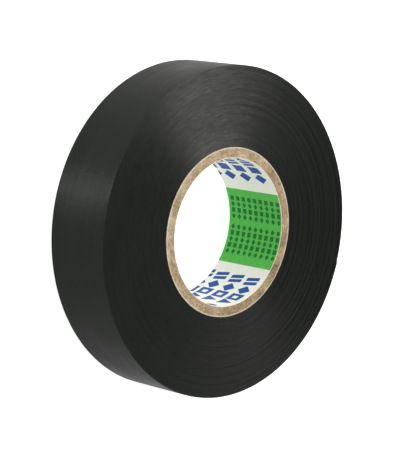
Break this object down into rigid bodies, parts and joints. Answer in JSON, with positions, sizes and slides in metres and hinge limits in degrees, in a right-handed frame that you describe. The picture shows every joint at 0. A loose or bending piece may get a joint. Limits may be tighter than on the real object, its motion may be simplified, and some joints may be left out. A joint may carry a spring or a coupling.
{
  "type": "electrical tape roll",
  "caption": "Roll of black vinyl electrical tape wound on a paper core with a printed inner face, its free end able to lift and peel back.",
  "frame": {"origin": "where the roll's axis meets the side face that the roll lies on", "axes": "+Z along the roll's axis, up through the bore to the other side face; +X and +Y across the roll, with the root of the tape's free end 30 degrees clockwise from +X seen from above"},
  "size_m": [0.0839, 0.0841, 0.019],
  "materials": {
    "printed_liner": "satin",
    "kraft_board": "matte",
    "outer_ply_paper": "matte",
    "black_vinyl": "satin",
    "adhesive": "matte"
  },
  "bodies": {
    "roll": {"core_liner": "printed_liner", "core_ply_1": "kraft_board", "core_ply_2": "kraft_board", "core_ply_3": "kraft_board", "core_ply_4": "kraft_board", "core_ply_5": "kraft_board", "core_outer_ply": "outer_ply_paper", "wound_turns": "black_vinyl", "last_turn_film": "black_vinyl", "last_turn_adhesive": "adhesive"},
    "tape_end": {"end_film": "black_vinyl", "end_adhesive": "adhesive"}
  },
  "joints": [
    {"name": "end_peel", "type": "hinge", "parent": "roll", "child": "tape_end", "pos_m": [0.03651, -0.02103, 0.0095], "axis": [0, 0, -1], "range_deg": [0, 160]}
  ]
}
